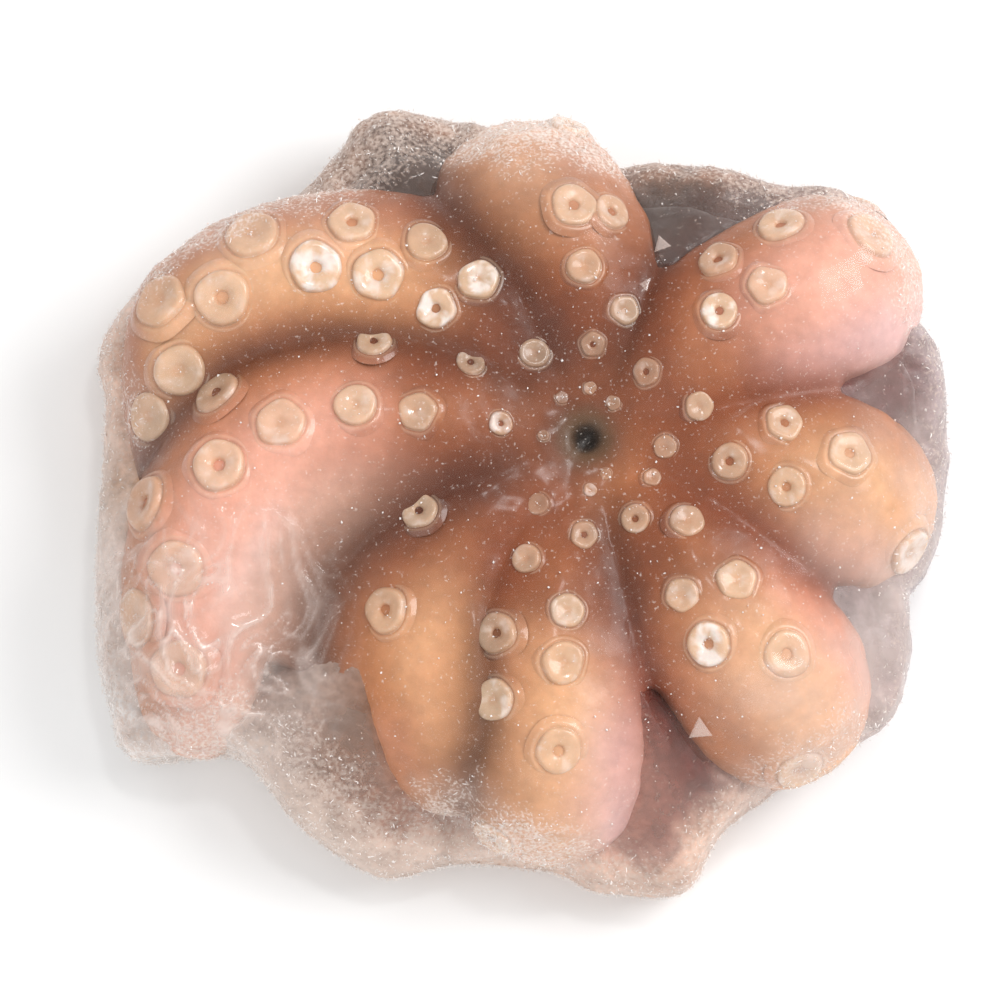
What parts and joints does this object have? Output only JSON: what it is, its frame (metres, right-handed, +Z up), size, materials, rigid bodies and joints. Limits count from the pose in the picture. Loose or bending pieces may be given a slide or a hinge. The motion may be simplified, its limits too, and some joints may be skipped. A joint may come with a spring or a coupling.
{
  "type": "frozen whole octopus",
  "caption": "Whole octopus frozen mouth up in a flower-shaped block, its suckered arms curled under the rim, with clear ice round the edge.",
  "frame": {"origin": "on the surface that the block stands on, under the middle of its bounding box", "axes": "+Z up, the mouth side of the octopus; +X along the block's longest side"},
  "size_m": [0.2336, 0.2156, 0.067],
  "materials": {
    "octopus_flesh": "wet frozen flesh, tan to pink, with pale suckers",
    "clear_ice": "frosted clear ice"
  },
  "bodies": {
    "root": {"octopus": "octopus_flesh", "ice": "clear_ice"}
  },
  "joints": []
}
